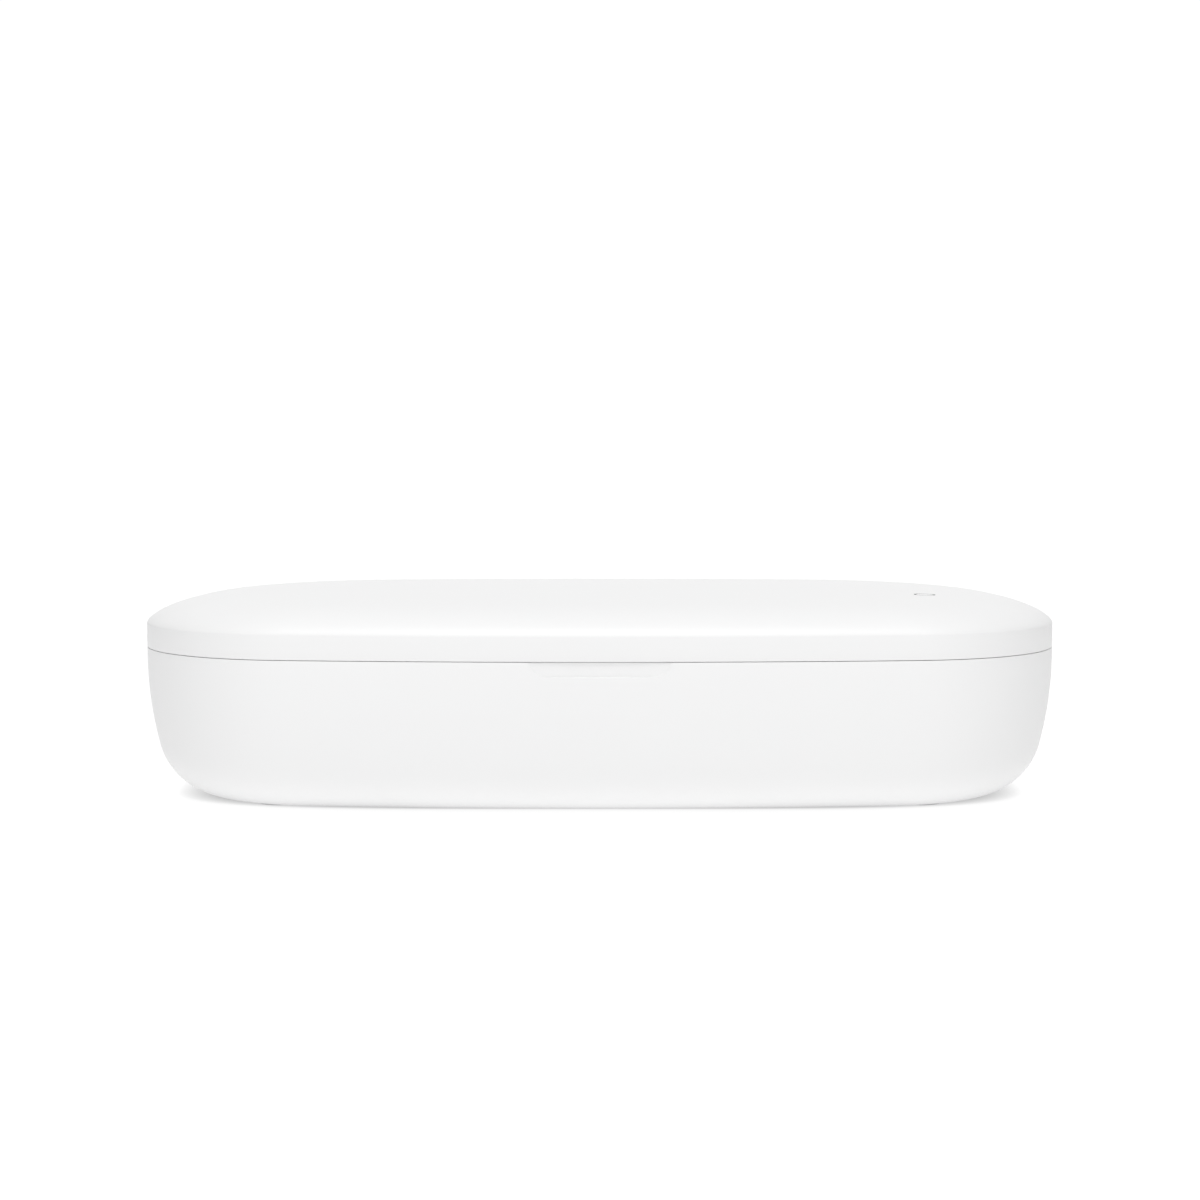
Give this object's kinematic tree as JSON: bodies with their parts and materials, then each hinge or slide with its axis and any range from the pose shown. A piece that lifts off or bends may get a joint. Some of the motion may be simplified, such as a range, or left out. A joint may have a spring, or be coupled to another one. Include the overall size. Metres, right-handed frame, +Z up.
{
  "type": "uv sanitizer box for phones",
  "caption": "Oval white case with a lined chamber for a phone, lamps in base and hinged crowned lid, and a push button.",
  "frame": {"origin": "on the ground under the middle of the closed case", "axes": "+X right along the case's length, +Y to the rear where the hinge is, +Z up; the front faces -Y"},
  "size_m": [0.228, 0.128, 0.0494],
  "materials": {
    "shell_white": "smooth satin white ABS moulding",
    "tub_grey": "UV-proof moulding, satin, very light grey",
    "soft_white": "matt white silicone rubber",
    "quartz": "clear quartz glass",
    "mirror_sheet": "polished aluminium sheet",
    "lamp_glass": "clear glass tube",
    "steel": "zinc-plated steel",
    "magnet": "nickel-plated magnet",
    "board_green": "glass-epoxy circuit board with green solder mask",
    "ferrite": "sintered ferrite",
    "winding": "enamelled copper wire",
    "component_black": "black moulded component body",
    "can": "aluminium capacitor can",
    "connector": "natural nylon"
  },
  "bodies": {
    "base": {"base_shell": "shell_white", "chamber_tub": "tub_grey", "phone_rails": "soft_white", "lower_window": "quartz", "lower_reflector": "mirror_sheet", "lower_lamp": "lamp_glass", "lower_lamp_caps": "steel", "lower_lamp_holders": "soft_white", "lower_lamp_screws": "steel", "main_board": "board_green", "board_screws": "steel", "transformer_core": "ferrite", "transformer_winding": "winding", "capacitors": "can", "board_chips": "component_black", "lead_connectors": "connector", "socket_shell": "steel", "socket_tongue": "component_black", "lid_sensor": "board_green", "catch_plates": "steel", "base_screws": "steel", "rubber_feet": "soft_white", "hinge_pins": "steel"},
    "lid": {"lid_shell": "shell_white", "lid_liner": "tub_grey", "lid_gasket": "soft_white", "upper_window": "quartz", "upper_reflector": "mirror_sheet", "upper_lamp": "lamp_glass", "upper_lamp_caps": "steel", "upper_lamp_holders": "soft_white", "upper_lamp_screws": "steel", "catch_magnets": "magnet", "sensor_magnet": "magnet", "lid_screws": "steel", "button_board": "board_green", "button_screws": "steel", "button_switch": "component_black"},
    "button": {"power_button": "shell_white", "switch_plunger": "soft_white"}
  },
  "joints": [
    {"name": "lid_hinge", "type": "hinge", "parent": "base", "child": "lid", "pos_m": [0, 0.061, 0.0375], "axis": [-1, 0, 0], "range_deg": [0, 100]},
    {"name": "button_press", "type": "slide", "parent": "lid", "child": "button", "axis": [0, 0, -1], "range_m": [0, 0.0004], "stiffness_N_per_m": 800, "springref_m": -0.0005}
  ]
}
